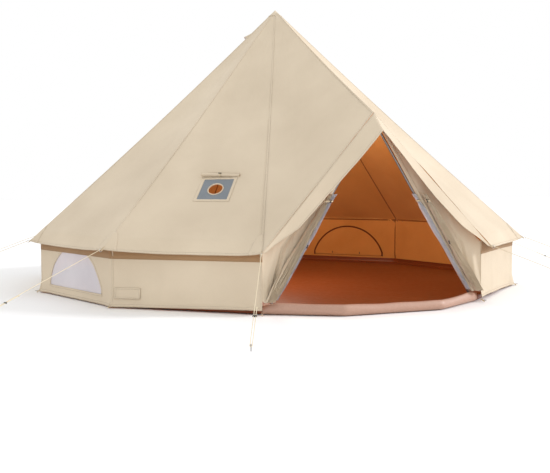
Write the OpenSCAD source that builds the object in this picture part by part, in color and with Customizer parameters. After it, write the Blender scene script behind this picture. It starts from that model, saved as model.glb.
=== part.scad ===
/* [Canopy] */
// Height of the apex above the ground
apex_h = 3500; // [3200:20:3700]
// Distance from the middle of the tent to each wall corner
wall_r = 3000; // [2900:20:3100]
// Height of the eave edge above the ground
eave_z = 600; // [560:10:660]
// How far the eave reaches out past the wall corners
eave_out = 120; // [100:5:140]
// Thickness of every canvas solid
canvas_t = 3; // [2:0.5:4]

/* [Doorway] */
// Angle between the two wall corners beside the door
door_angle = 49; // [47:0.5:51]
// Height of the ridge's outer end, where the door poles meet
ridge_z = 1970; // [1900:10:2020]
// Distance of the ridge's outer end from the middle
ridge_y = 2625; // [2580:5:2660]
// Half the distance between the feet of the door poles
door_half = 1190; // [1150:5:1195]
// How far the awning over the door reaches out past the ridge's end
awning_out = 185; // [140:5:200]

/* [Windows] */
// Width of a window at its sill
window_w = 1160; // [900:20:1200]
// Height of a window, from its sill to the top of its arch
window_h = 450; // [380:10:460]
// Height of the window sills above the ground
sill_z = 115; // [105:5:130]

/* [Stove jack] */
// Diameter of the flue hole in the roof
flue_d = 150; // [100:5:170]
// Width of the heat-proof patch round the flue hole
patch_w = 385; // [360:5:420]
// Height of the heat-proof patch, measured up the slope
patch_h = 355; // [330:5:380]
// Distance of the flue hole from the eave, measured up the slope
flue_up = 895; // [800:5:1000]

/* [Poles] */
// Outside diameter of the lower half of the centre pole
pole_d = 38; // [34:1:42]
// Outside diameter of the two door poles
door_pole_d = 25; // [22:1:28]
// Wall thickness of the steel tubes
tube_t = 1.5; // [1.2:0.1:2]

/* [Guy ropes] */
// Diameter of the guy ropes
rope_d = 6; // [5:0.5:8]
// Level distance from an eave corner's ring to its peg
guy_reach = 1500; // [1200:50:1800]
// Distance from a runner to the peg, along the rope
runner_up = 450; // [400:10:520]

/* [Groundsheet] */
// Gap between the wall corners and the groundsheet's corners
sheet_in = 40; // [30:2:50]
// Thickness of the groundsheet's floor
sheet_t = 4; // [3:0.5:5]
// Height of the groundsheet's turned-up rim along the walls
rim_h = 80; // [60:5:90]
// Height of the rim where it crosses the doorway
sill_rim_h = 110; // [90:5:115]
// Distance of the doorway sill's two bends from the middle
sill_r = 3130; // [3050:10:3150]

/* [Hidden] */
PANELS = 10;
PORT_PANEL = 9;
WINDOW_PANELS = [1, 3, 6, 8];
OPEN_WINDOWS = [1, 8];
VENT_PANELS = [2, 4, 7];
// How far each guy rope is turned from straight outwards, corner by corner
GUY_TURN = [20, 4, 0, 0, 0, 0, 0, 0, 0, -4, 0];

canvas = "#e0d0b0";
pale_canvas = "#efe3cc";
mesh_white = "#e6e4e6";
pvc = "#7d3c1c";
steel = "#a9adb0";
black = "#26262a";

// Half the gap between neighbouring sewn panels, which stay separate solids
seam = 2;
panel_turn = (360 - door_angle) / PANELS;
eave_r = wall_r + eave_out;
// The gores aim at a point just under the apex cone's tip
gore_top_z = apex_h - 6;
// The gores end this far from the middle, where the apex cone takes over
gore_top_r = 60;
roof_slope = (gore_top_z - eave_z) / eave_r;
wall_z = 8;
wall_top = eave_z + (eave_out - 12) * roof_slope;
wall_w = 2 * wall_r * sin(panel_turn / 2);
mesh_t = 1.5;
sheet_r = wall_r - sheet_in;
door_y = wall_r * cos(door_angle / 2);

// Turn of wall corner i, counted anticlockwise from the corner on the door's right
function corner_turn(i) = -90 + door_angle / 2 + i * panel_turn;
function around(r, turn, z) = [r * cos(turn), r * sin(turn), z];
function at_corner(i, r, z) = around(r, corner_turn(i), z);
function unit(v) = v / norm(v);
function normal_of(p) = unit(cross(p[1] - p[0], p[2] - p[0]));
// The two ends of a line, both drawn in by g
function drawn_in(a, b, g) = [a + g * unit(b - a), b - g * unit(b - a)];
function gore_z(r) = gore_top_z - r * roof_slope;

// A flat sheet with its outer face on the points p, which run anticlockwise seen from outside
module sheet_of(p, t) {
    n = len(p);
    inwards = -t * normal_of(p);
    polyhedron(
        points = concat(p, [for (q = p) q + inwards]),
        faces = concat(
            [[for (k = [n - 1:-1:0]) k]],
            [[for (k = [0:n - 1]) n + k]],
            [for (k = [0:n - 1]) [k, (k + 1) % n, n + (k + 1) % n, n + k]]
        )
    );
}

// Stands children on wall panel i: x out of the wall, y along it, z up
module on_wall(i) {
    rotate([0, 0, corner_turn(i) + panel_turn / 2])
        translate([wall_r * cos(panel_turn / 2), 0, 0])
            children();
}

// Lays children on roof gore i: x up the slope from the eave, y clockwise across it, z out of the roof
module on_gore(i) {
    apothem = eave_r * cos(panel_turn / 2);
    rotate([0, 0, corner_turn(i) + panel_turn / 2])
        translate([apothem, 0, eave_z])
            rotate([0, atan2(gore_top_z - eave_z, apothem), 0])
                rotate([0, 0, 180])
                    children();
}

module wall_slab(i) {
    on_wall(i)
        translate([-canvas_t, seam - wall_w / 2, wall_z])
            cube([canvas_t, wall_w - 2 * seam, wall_top - wall_z]);
}

// A flat sill with an arched top, drawn with its sill's middle at the origin
module arch(w, h) {
    arch_r = w * 0.53;
    intersection() {
        translate([-w / 2, 0])
            square([w, h]);
        translate([0, h - arch_r])
            circle(r = arch_r, $fn = 96);
    }
}

// An arched sheet against the wall's inside, from x = back to x = back + t
module arched_sheet(grow, back, t) {
    translate([back, 0, sill_z - grow])
        rotate([90, 0, 90])
            linear_extrude(t)
                arch(window_w + 2 * grow, window_h + 2 * grow);
}

module wall_window(i) {
    color(canvas)
        difference() {
            wall_slab(i);
            on_wall(i)
                arched_sheet(0, -2 * canvas_t, 3 * canvas_t);
        }
}

module walls_plain() {
    color(canvas)
        for (i = [0, 2, 4, 5, 7])
            wall_slab(i);
}

// Middle of the cable port along its wall panel, and the port's size
port_y = -wall_w / 2 + 185;
port_z = 160;
port_w = 150;
port_h = 60;

module wall_cable_port() {
    color(canvas)
        difference() {
            wall_slab(PORT_PANEL);
            on_wall(PORT_PANEL)
                translate([-2 * canvas_t, port_y - port_w / 2, port_z - port_h / 2])
                    cube([3 * canvas_t, port_w, port_h]);
        }
}

flap_gap = 3;
flap_w = 280;
flap_h = 115;

module cable_flap() {
    color(canvas)
        on_wall(PORT_PANEL)
            translate([flap_gap, port_y - flap_w / 2, port_z + port_h / 2 + 25 - flap_h])
                cube([2, flap_w, flap_h]);
}

module gore(i) {
    low = drawn_in(at_corner(i, eave_r, eave_z), at_corner(i + 1, eave_r, eave_z), seam);
    top_z = gore_z(gore_top_r);
    high = drawn_in(at_corner(i, gore_top_r, top_z), at_corner(i + 1, gore_top_r, top_z), seam);
    sheet_of([low[0], low[1], high[1], high[0]], canvas_t);
}

module roof_right() {
    color(pale_canvas)
        for (i = [0:4])
            gore(i);
}

module roof_left() {
    color(canvas)
        for (i = [5:8])
            gore(i);
}

// Middle of the flue hole across its gore
flue_y = -108;

module flue_hole() {
    on_gore(PORT_PANEL)
        translate([flue_up, flue_y, -20])
            cylinder(d = flue_d, h = 40, $fn = 96);
}

module roof_stove_panel() {
    color(canvas)
        difference() {
            gore(PORT_PANEL);
            flue_hole();
        }
}

patch_t = 3;

module stove_patch() {
    color("#8f989f")
        difference() {
            on_gore(PORT_PANEL)
                translate([flue_up - patch_h / 2, flue_y - patch_w / 2, 0.5])
                    cube([patch_h, patch_w, patch_t]);
            flue_hole();
        }
}

roll_d = 46;

module stove_flap() {
    color(canvas)
        on_gore(PORT_PANEL)
            translate([flue_up + patch_h / 2 + roll_d / 2 + 4, flue_y - patch_w / 2 - 20, roll_d / 2 + 1])
                rotate([-90, 0, 0])
                    cylinder(d = roll_d, h = patch_w + 40, $fn = 32);
}

ridge_end = [0, -ridge_y, ridge_z];
awning_tip = [0, -ridge_y - awning_out, ridge_z - awning_out];
// The two front facets end this far from the middle, clear of the apex cone's foot
front_top_r = 96;
// Half the gap between the two sides at the ridge, where their inner faces lean together
ridge_gap = 3;

// Right half of the roof between the ridge over the door and the first seam
module front_facet() {
    low = at_corner(0, eave_r, eave_z) + [-seam, 0, 0];
    seam_top = at_corner(0, front_top_r, gore_z(front_top_r)) + [-seam, 0, 0];
    ridge_top = [ridge_gap, -front_top_r, gore_top_z - front_top_r * (gore_top_z - ridge_z) / ridge_y];
    ridge_low = ridge_end + [ridge_gap, 0, 0];
    sheet_of([ridge_low, low, seam_top], canvas_t);
    sheet_of([ridge_low, seam_top, ridge_top], canvas_t);
}

module roof_front_right() {
    color(pale_canvas)
        front_facet();
}

module roof_front_left() {
    color(canvas)
        mirror([1, 0, 0])
            front_facet();
}

module awning_half() {
    low = at_corner(0, eave_r, eave_z) + [-3 * seam, 0, -3 * seam];
    upper = ridge_end + [ridge_gap, -3 * seam, -3 * seam];
    tip = awning_tip + [ridge_gap, 0, 0];
    lower = low + [-170, 10, 40];
    sheet_of([upper, tip, lower], canvas_t);
    sheet_of([upper, lower, low], canvas_t);
}

module door_awning() {
    color(canvas) {
        awning_half();
        mirror([1, 0, 0])
            awning_half();
    }
}

// Slope of the leaning plane that the door and its poles stand in
door_foot_y = door_y + 8;
door_lean = (door_foot_y - ridge_y - 15) / (ridge_z - 45 - 10);
function on_door(x, z) = [x, -door_foot_y + (z - 10) * door_lean, z];
// Half the doorway's width at a height
function half_at(z) = door_half * (1 - z / (ridge_z - 60));

module surround_half() {
    out = wall_r * sin(door_angle / 2) - 20;
    low = sill_rim_h + 10;
    sheet_of(
        [
            on_door(half_at(low) + 25, low),
            on_door(out, low),
            on_door(out, eave_z + 40),
            on_door(25 + half_at(ridge_z - 100), ridge_z - 110)
        ],
        canvas_t
    );
}

module door_surround() {
    color(canvas) {
        surround_half();
        mirror([1, 0, 0])
            surround_half();
    }
}

// A straight round bar between two points
module bar(a, b, d) {
    v = b - a;
    translate(a)
        rotate([0, acos(v[2] / norm(v)), atan2(v[1], v[0])])
            cylinder(d = d, h = norm(v), $fn = 48);
}

door_peak = [0, -ridge_y + 5, ridge_z - 75];
door_foot = [door_half, -door_foot_y + 58, 12];
door_dir = unit(door_foot - door_peak);

// The right door pole stops this far short of the peak, inside the elbow
elbow_stop = 30;
elbow_l = 150;

module door_pole() {
    color(steel)
        difference() {
            bar(door_peak + elbow_stop * door_dir, door_foot, door_pole_d);
            bar(door_peak, door_foot + 5 * door_dir, door_pole_d - 2 * tube_t);
        }
}

module door_pole_right() {
    door_pole();
}

module door_pole_left() {
    mirror([1, 0, 0])
        door_pole();
}

module elbow_arm(d, start) {
    bar(door_peak + start * door_dir, door_peak + elbow_l * door_dir, d);
}

module door_pole_elbow() {
    outer_d = door_pole_d + 5;
    bore_d = door_pole_d + 0.4;
    color(black)
        difference() {
            union() {
                elbow_arm(outer_d, 0);
                mirror([1, 0, 0])
                    elbow_arm(outer_d, 0);
            }
            bar(door_peak + elbow_stop * door_dir, door_peak + (elbow_l + 5) * door_dir, bore_d);
            mirror([1, 0, 0])
                bar(door_peak + elbow_stop * door_dir, door_peak + (elbow_l + 5) * door_dir, bore_d);
        }
}

// A bundle of cloth tied back along the right door pole, from one height to another
module tied_bundle(from_z, to_z, side, back, thick_low, thick_high) {
    a = on_door(half_at(from_z) + side, from_z) + [0, back, 0];
    b = on_door(half_at(to_z) + side, to_z) + [0, back, 0];
    v = b - a;
    translate(a)
        rotate([0, acos(v[2] / norm(v)), atan2(v[1], v[0])])
            cylinder(d1 = thick_low, d2 = thick_high, h = norm(v), $fn = 32);
}

module door_canvas_right() {
    color(pale_canvas)
        tied_bundle(136, 1150, 60, -50, 90, 44);
}

module door_canvas_left() {
    color(canvas)
        mirror([1, 0, 0])
            tied_bundle(136, 1150, 60, -50, 90, 44);
}

module door_mesh_right() {
    color(mesh_white)
        tied_bundle(136, 1150, -12, 0, 56, 24);
}

module door_mesh_left() {
    color(mesh_white)
        mirror([1, 0, 0])
            tied_bundle(136, 1150, -12, 0, 56, 24);
}

module window_meshes() {
    color(mesh_white)
        for (i = WINDOW_PANELS)
            on_wall(i)
                arched_sheet(14, -canvas_t - mesh_t, mesh_t);
}

module window_rolled_flaps() {
    color(canvas)
        for (i = OPEN_WINDOWS)
            on_wall(i)
                translate([-canvas_t - 30, -window_w / 2, sill_z + 5])
                    rotate([-90, 0, 0])
                        cylinder(d = 44, h = window_w, $fn = 32);
}

module window_flap(i) {
    color("#c98a4e")
        on_wall(i)
            arched_sheet(18, -canvas_t - mesh_t - flap_gap - 2, 2);
}

module roof_vents() {
    vent_up = 3640;
    vent_l = 150;
    color(canvas)
        for (i = VENT_PANELS)
            on_gore(i)
                translate([vent_up, 0, 1])
                    rotate([90, 0, 0])
                        translate([0, 0, -55])
                            linear_extrude(110)
                                polygon([[0, 0], [vent_l, 0], [0, 45]]);
}

module apex_cone() {
    foot_r = 90;
    cone_t = 2.5;
    color(canvas)
        difference() {
            translate([0, 0, apex_h - foot_r * roof_slope])
                cylinder(r1 = foot_r, r2 = 0, h = foot_r * roof_slope, $fn = 64);
            translate([0, 0, apex_h - foot_r * roof_slope - cone_t])
                cylinder(r1 = foot_r, r2 = 0, h = foot_r * roof_slope, $fn = 64);
        }
}

foot_z = sheet_t + 0.5;
pole_z = 14;
pole_mid = 1750;
pole_top = apex_h - 98;
spigot = 120;
spigot_play = 0.3;

module centre_pole_lower() {
    color(steel)
        difference() {
            translate([0, 0, pole_z])
                cylinder(d = pole_d, h = pole_mid - pole_z, $fn = 64);
            translate([0, 0, pole_z - 1])
                cylinder(d = pole_d - 2 * tube_t, h = pole_mid, $fn = 64);
        }
}

module centre_pole_upper() {
    upper_d = pole_d - 2 * tube_t - 2 * spigot_play;
    color(steel)
        difference() {
            translate([0, 0, pole_mid - spigot])
                cylinder(d = upper_d, h = pole_top - pole_mid + spigot, $fn = 64);
            translate([0, 0, pole_mid - spigot - 1])
                cylinder(d = upper_d - 2 * tube_t, h = pole_top, $fn = 64);
        }
}

module centre_pole_foot() {
    color(black)
        difference() {
            translate([0, 0, foot_z])
                cylinder(d = pole_d + 26, h = 46, $fn = 64);
            translate([0, 0, pole_z - 1])
                cylinder(d = pole_d + 0.6, h = 60, $fn = 64);
        }
}

module centre_pole_cap() {
    color(black) {
        translate([0, 0, pole_top + 0.5])
            cylinder(d = 58, h = 16, $fn = 64);
        translate([0, 0, pole_top + 16])
            cylinder(d1 = 58, d2 = 16, h = 34, $fn = 64);
    }
}

// The groundsheet's corners: one at each wall corner, then the sill's two bends out past the door
sill_turn = 10;
sheet_corners = concat(
    [for (i = [0:PANELS]) at_corner(i, sheet_r, 0)],
    [around(sill_r, -90 - sill_turn, 0), around(sill_r, -90 + sill_turn, 0)]
);

module groundsheet() {
    color(pvc)
        linear_extrude(sheet_t)
            polygon([for (p = sheet_corners) [p[0], p[1]]]);
}

// One straight stretch of the turned-up rim, on the line from a to b
module rim_strip(a, b, high) {
    ends = drawn_in(a, b, 3);
    sheet_of(
        [
            [ends[0][0], ends[0][1], sheet_t + 0.5],
            [ends[1][0], ends[1][1], sheet_t + 0.5],
            [ends[1][0], ends[1][1], high],
            [ends[0][0], ends[0][1], high]
        ],
        canvas_t
    );
}

module groundsheet_rim() {
    color("#c99b80") {
        for (i = [0:PANELS - 1])
            rim_strip(sheet_corners[i], sheet_corners[i + 1], rim_h);
        for (i = [PANELS:PANELS + 2])
            rim_strip(sheet_corners[i], sheet_corners[(i + 1) % len(sheet_corners)], sill_rim_h);
    }
}

ring_d = 34;
ring_wire = 4;
ring_r = eave_r + 24;
ring_z = eave_z - 6;

module corner_rings() {
    color(steel)
        for (i = [0:PANELS])
            rotate([0, 0, corner_turn(i)])
                translate([ring_r, 0, ring_z])
                    rotate([90, 0, 0])
                        rotate_extrude($fn = 48)
                            translate([(ring_d - ring_wire) / 2, 0])
                                circle(d = ring_wire, $fn = 24);
}

// Height at which a rope meets its peg
hook_z = 40;
rope_start = ring_r + ring_d / 2 + rope_d / 2 + 0.5;
rope_pitch = atan2(ring_z - hook_z, guy_reach);
rope_l = norm([ring_z - hook_z, guy_reach]);
strand_gap = 18;
tail = 140;

// Frame of guy rope i: x down the rope from its ring, y across, z square to both
module on_rope(i) {
    translate(at_corner(i, rope_start, ring_z))
        rotate([0, rope_pitch, corner_turn(i) + GUY_TURN[i]])
            children();
}

module guy_rope(i) {
    color("#e9dcc0")
        on_rope(i) {
            rotate([0, 90, 0])
                cylinder(d = rope_d, h = rope_l, $fn = 24);
            translate([rope_l - runner_up - tail, strand_gap, 0])
                rotate([0, 90, 0])
                    cylinder(d = rope_d, h = runner_up + tail, $fn = 24);
            translate([rope_l, strand_gap / 2, 0])
                rotate([0, 0, -90])
                    rotate_extrude(angle = 180, $fn = 48)
                        translate([strand_gap / 2, 0])
                            circle(d = rope_d, $fn = 24);
        }
}

module guy_runner(i) {
    play = 0.4;
    color(black)
        on_rope(i)
            translate([rope_l - runner_up, 0, 0])
                difference() {
                    translate([-6, -10, -7])
                        cube([12, strand_gap + 20, 14]);
                    for (y = [0, strand_gap])
                        translate([-10, y, 0])
                            rotate([0, 90, 0])
                                cylinder(d = rope_d + 2 * play, h = 20, $fn = 48);
                }
}

peg_d = 8;

module guy_pegs() {
    shank = 52;
    color(steel)
        for (i = [0:PANELS])
            on_rope(i)
                translate([rope_l, strand_gap / 2, 0])
                    rotate([0, -rope_pitch, 0]) {
                        translate([0, 0, 0.5 - hook_z])
                            cylinder(d = peg_d, h = shank, $fn = 32);
                        translate([-peg_d / 2, 0, shank - hook_z])
                            rotate([0, 90, 0])
                                cylinder(d = peg_d, h = 34, $fn = 32);
                    }
}

module wall_pegs() {
    color(steel)
        for (i = [0:PANELS])
            rotate([0, 0, corner_turn(i)])
                translate([wall_r + 50, 0, 0.5]) {
                    cylinder(d = 6, h = 22, $fn = 32);
                    translate([-3, 0, 22])
                        rotate([0, 90, 0])
                            cylinder(d = 6, h = 28, $fn = 32);
                }
}

groundsheet();
groundsheet_rim();
centre_pole_lower();
centre_pole_upper();
centre_pole_foot();
centre_pole_cap();
door_pole_right();
door_pole_left();
door_pole_elbow();
walls_plain();
wall_window(1);  // wall_window_1
wall_window(3);  // wall_window_3
wall_window(6);  // wall_window_6
wall_window(8);  // wall_window_8
wall_cable_port();
roof_right();
roof_left();
roof_stove_panel();
roof_front_right();
roof_front_left();
door_awning();
door_surround();
door_canvas_right();
door_canvas_left();
door_mesh_right();
door_mesh_left();
window_meshes();
window_rolled_flaps();
window_flap(3);  // window_flap_right
window_flap(6);  // window_flap_left
cable_flap();
stove_patch();
stove_flap();
roof_vents();
apex_cone();
corner_rings();
guy_pegs();
wall_pegs();
guy_rope(0);  // guy_rope_00
guy_rope(1);  // guy_rope_01
guy_rope(2);  // guy_rope_02
guy_rope(3);  // guy_rope_03
guy_rope(4);  // guy_rope_04
guy_rope(5);  // guy_rope_05
guy_rope(6);  // guy_rope_06
guy_rope(7);  // guy_rope_07
guy_rope(8);  // guy_rope_08
guy_rope(9);  // guy_rope_09
guy_rope(10);  // guy_rope_10
guy_runner(0);  // guy_runner_00
guy_runner(1);  // guy_runner_01
guy_runner(2);  // guy_runner_02
guy_runner(3);  // guy_runner_03
guy_runner(4);  // guy_runner_04
guy_runner(5);  // guy_runner_05
guy_runner(6);  // guy_runner_06
guy_runner(7);  // guy_runner_07
guy_runner(8);  // guy_runner_08
guy_runner(9);  // guy_runner_09
guy_runner(10);  // guy_runner_10
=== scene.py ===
"""A cotton bell tent on its CAD frame: canvas, fittings and ropes as they look. Metres, in the CAD frame."""

import math

import bmesh
import bpy
import numpy as np
from mathutils import Matrix, Vector


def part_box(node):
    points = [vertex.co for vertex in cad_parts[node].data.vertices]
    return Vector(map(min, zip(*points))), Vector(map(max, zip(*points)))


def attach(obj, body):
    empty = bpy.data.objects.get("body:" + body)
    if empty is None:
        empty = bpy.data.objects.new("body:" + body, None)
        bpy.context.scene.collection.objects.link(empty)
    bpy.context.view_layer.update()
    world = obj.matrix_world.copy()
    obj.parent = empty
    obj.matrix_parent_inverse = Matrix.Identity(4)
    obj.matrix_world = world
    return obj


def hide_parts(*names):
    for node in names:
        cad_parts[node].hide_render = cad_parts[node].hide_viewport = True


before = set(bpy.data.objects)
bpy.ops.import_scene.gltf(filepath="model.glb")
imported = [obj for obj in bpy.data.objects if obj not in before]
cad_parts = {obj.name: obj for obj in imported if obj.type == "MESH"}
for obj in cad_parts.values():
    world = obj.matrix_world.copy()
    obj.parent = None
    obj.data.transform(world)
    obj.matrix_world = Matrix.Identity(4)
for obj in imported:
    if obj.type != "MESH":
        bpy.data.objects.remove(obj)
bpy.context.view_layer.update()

# ---------------------------------------------------------------- sizes
PANELS = 10
DOOR_ANGLE = math.radians(49)
TURN = (2 * math.pi - DOOR_ANGLE) / PANELS

EAVE_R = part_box("roof_right")[1].y + 0.002
EAVE_Z = 0.6
WALL_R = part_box("walls_plain")[1].y
SHEET_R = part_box("groundsheet")[1].y
APEX_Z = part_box("apex_cone")[1].z
GORE_TOP_Z = APEX_Z - 0.006
GORE_TOP_R = 0.06
ROOF_SLOPE = (GORE_TOP_Z - EAVE_Z) / EAVE_R
RIDGE_END = np.array([0, -2.625, 1.97])
AWNING_TIP = np.array([0, -2.81, 1.785])
WALL_TOP = 0.702
WALL_W = 2 * WALL_R * math.sin(TURN / 2)
DOOR_HALF = 1.19

CLOTH_T = 0.0016            # canvas
PATCH_T = 0.0012            # canvas sewn on as a seam or patch
TRIM_T = 0.001              # hems and ties
THIN_T = 0.0008             # rolled canvas, and hems inside

WINDOWS = [1, 3, 6, 8]
OPEN_WINDOWS = [1, 8]
WINDOW_W = 1.16
WINDOW_H = 0.45
SILL_Z = 0.115
FLAP_W = WINDOW_W + 0.036
FLAP_H = WINDOW_H + 0.036
PORT_PANEL = 9
PORT_Y = -WALL_W / 2 + 0.185
PORT_Z = 0.16
VENT_PANELS = [2, 4, 7]

UP = np.array([0, 0, 1.0])
# Turns x to y, y to z and z to x
ROUND_AXES = Matrix(((0, 0, 1, 0), (1, 0, 0, 0), (0, 1, 0, 0), (0, 0, 0, 1)))


def corner_turn(i):
    """Turn of wall corner i, anticlockwise from the corner on the door's right."""
    return -math.pi / 2 + DOOR_ANGLE / 2 + i * TURN


def panel_turn(i):
    """Turn of the middle of wall panel i."""
    return corner_turn(i) + TURN / 2


def axes_at(turn):
    """Unit vectors outwards and anticlockwise."""
    return np.array([math.cos(turn), math.sin(turn), 0]), np.array([-math.sin(turn), math.cos(turn), 0])


def stacked(*values):
    """The values, broadcast together, as the last axis of one array."""
    return np.stack(np.broadcast_arrays(*values), -1)


def around(r, turn, z):
    return stacked(r * np.cos(turn), r * np.sin(turn), z)


def full_turn(n, closed=False):
    """Angles round a circle. The last repeats the first if closed."""
    return np.linspace(0, 2 * np.pi, n, endpoint=closed)


def run_along(points, axis=0):
    """Distance along lines of points, from 0 at their start."""
    steps = np.linalg.norm(np.diff(points, axis=axis), axis=-1)
    start = np.zeros_like(np.take(steps, [0], axis))
    return np.concatenate([start, np.cumsum(steps, axis)], axis)


def eased(t):
    t = np.clip(t, 0, 1)
    return t * t * (3 - 2 * t)


def ripple(x, y, seed, octaves=2):
    """Smooth seeded noise, about -1 to 1, with one bump per unit of x and y."""
    x, y = np.broadcast_arrays(x, y)
    size = 97
    total = 0
    for k in range(octaves):
        dots = np.random.default_rng(seed + k).uniform(-1, 1, (size, size))
        xs, ys = x * 2**k + 37.3 * k, y * 2**k + 11.7 * k
        i, j = np.floor(xs).astype(int), np.floor(ys).astype(int)
        fx, fy = eased(xs - i), eased(ys - j)
        near = dots[i % size, j % size] * (1 - fx) + dots[(i + 1) % size, j % size] * fx
        far = dots[i % size, (j + 1) % size] * (1 - fx) + dots[(i + 1) % size, (j + 1) % size] * fx
        total = total + 0.5**k * (near * (1 - fy) + far * fy)
    return total


# ---------------------------------------------------------------- materials
def node(tree, kind, settings=None, **inputs):
    """Adds a node. An input is a value or another node's output, and i0, i1 ... name it by its number."""
    made = tree.nodes.new("ShaderNode" + kind)
    for key, value in (settings or {}).items():
        setattr(made, key, value)
    for key, value in inputs.items():
        socket = made.inputs[int(key[1:]) if key[0] == "i" and key[1:].isdigit() else key.replace("_", " ")]
        if isinstance(value, bpy.types.NodeSocket):
            tree.links.new(value, socket)
        else:
            socket.default_value = value
    return made


def maths(tree, operation, a, b=0.0):
    return node(tree, "Math", {"operation": operation}, i0=a, i1=b).outputs[0]


def blend_colours(tree, share, a, b):
    return node(tree, "Mix", {"data_type": "RGBA"}, i0=share, i6=a, i7=b).outputs[2]


def rgb(r, g, b):
    return (r, g, b, 1)


def new_material(name, **sockets):
    made = bpy.data.materials.new(name)
    made.use_nodes = True
    shader = made.node_tree.nodes["Principled BSDF"]
    for key, value in sockets.items():
        shader.inputs[key.replace("_", " ")].default_value = value
    return made, made.node_tree, shader


def spots(tree, scale, detail=3.0, stretch=None, kind="Object"):
    """Noise over the piece, 0 to 1. Stretch is a scale per axis."""
    place = node(tree, "TexCoord").outputs[kind]
    if stretch:
        place = node(tree, "Mapping", Vector=place, Scale=stretch).outputs[0]
    return node(tree, "TexNoise", Vector=place, Scale=scale, Detail=detail).outputs[0]


def weave_height(tree, pitch):
    """Height of a plain weave with that pitch, in UV metres."""
    uv = node(tree, "TexCoord").outputs["UV"]
    scale = 0.314 / pitch
    warp, weft = [
        node(tree, "TexWave", {"bands_direction": way}, Vector=uv, Scale=scale, Distortion=0.6).outputs["Fac"]
        for way in "XY"
    ]
    return maths(tree, "MULTIPLY", maths(tree, "ADD", warp, weft), 0.5)


def stitches(tree, offset, pitch=0.006, thread=0.0009, filled=0.68):
    """Two rows of stitches on a strip: offset from its middle, with that pitch along it."""
    uv = node(tree, "SeparateXYZ", Vector=node(tree, "TexCoord").outputs["UV"])
    off = maths(tree, "ABSOLUTE", maths(tree, "SUBTRACT", maths(tree, "ABSOLUTE", uv.outputs[0]), offset))
    row = maths(tree, "LESS_THAN", off, thread)
    along = maths(tree, "FRACT", maths(tree, "DIVIDE", uv.outputs[1], pitch))
    return maths(tree, "MULTIPLY", row, maths(tree, "LESS_THAN", along, filled))


def cloth(name, light, dark, roughness=0.88, pitch=0.0017, depth=0.0005, stitched=0.0, alpha=1.0):
    """Woven cloth: two shades that drift, slubs in the yarn, the weave's relief and small creases."""
    made, tree, shader = new_material(name, Roughness=roughness, Sheen_Weight=0.12, Sheen_Roughness=0.5,
                                      Specular_IOR_Level=0.25, Alpha=alpha)
    drift = spots(tree, 1.3, 4.0)
    slub = spots(tree, 1.0, 2.0, (420, 38, 1), "UV")
    share = maths(tree, "ADD", maths(tree, "MULTIPLY", drift, 0.75), maths(tree, "MULTIPLY", slub, 0.25))
    sharp = node(tree, "MapRange", Value=share, i1=0.35, i2=0.66).outputs[0]
    colour = blend_colours(tree, sharp, dark, light)
    height = weave_height(tree, pitch)
    if stitched:
        mask = stitches(tree, stitched)
        colour = blend_colours(tree, mask, colour, rgb(*(0.55 * c for c in dark[:3])))
        height = maths(tree, "ADD", height, maths(tree, "MULTIPLY", mask, -1.6))
    tree.links.new(colour, shader.inputs["Base Color"])
    creases = node(tree, "Bump", Strength=0.35, Distance=0.004, Height=spots(tree, 9.0, 5.0))
    weave = node(tree, "Bump", Strength=0.5, Distance=depth, Height=height, Normal=creases.outputs[0])
    tree.links.new(weave.outputs[0], shader.inputs["Normal"])
    return made


def solid(name, light, dark, roughness, scale, bump, stretch=None, **sockets):
    """Plastic, metal or coated cloth: two shades, worn roughness and a fine relief."""
    made, tree, shader = new_material(name, **sockets)
    grain = spots(tree, scale, 4.0, stretch)
    tree.links.new(blend_colours(tree, grain, dark, light), shader.inputs["Base Color"])
    worn = spots(tree, scale * 0.3)
    rough = node(tree, "MapRange", Value=worn, i3=roughness * 0.8, i4=roughness * 1.2)
    tree.links.new(rough.outputs[0], shader.inputs["Roughness"])
    relief = node(tree, "Bump", Strength=0.5, Distance=bump, Height=grain)
    tree.links.new(relief.outputs[0], shader.inputs["Normal"])
    return made


CANVAS = rgb(0.715, 0.605, 0.455), rgb(0.63, 0.525, 0.388)
SEAM_STITCH = 0.008         # from the middle of a seam to each row of stitches
canvas = cloth("canvas", *CANVAS)
canvas_seam = cloth("canvas_seam", *CANVAS, stitched=SEAM_STITCH)
# The inside of the canvas is coloured orange-brown: painted glow of daylight shining through the canvas, not
# the cloth's own colour
canvas_inside_painted_glow = cloth("canvas_inside_painted_glow", rgb(0.74, 0.38, 0.115), rgb(0.62, 0.30, 0.08))
# Seams and hems seen from inside: the painted glow, darker where the doubled canvas lets less light through
seam_inside_painted_glow = cloth("seam_inside_painted_glow", rgb(0.36, 0.15, 0.035), rgb(0.28, 0.11, 0.025), stitched=SEAM_STITCH)
# A brown band round the top of the walls, under the eave skirt: painted shade of the skirt, drawn as darker
# cloth
eave_painted_shade = cloth("eave_painted_shade", rgb(0.40, 0.245, 0.125), rgb(0.33, 0.195, 0.095))
webbing = cloth("webbing", rgb(0.72, 0.6, 0.42), rgb(0.6, 0.48, 0.32), pitch=0.0026, depth=0.0009)
mesh_cloth = cloth("mesh_cloth", rgb(0.80, 0.78, 0.81), rgb(0.68, 0.66, 0.70), pitch=0.0014, alpha=0.86)
heatproof = cloth("heatproof_cloth", rgb(0.25, 0.275, 0.30), rgb(0.175, 0.195, 0.215), 0.6, 0.0024)
zip_tape = cloth("zip_tape", rgb(0.20, 0.065, 0.015), rgb(0.13, 0.04, 0.01), pitch=0.003, stitched=0.004)
pvc_floor = solid("groundsheet_pvc", rgb(0.24, 0.062, 0.017), rgb(0.17, 0.04, 0.011), 0.42, 55, 0.0006)
pvc_rim = solid("rim_pvc", rgb(0.52, 0.32, 0.235), rgb(0.42, 0.25, 0.18), 0.45, 60, 0.0005)
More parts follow.
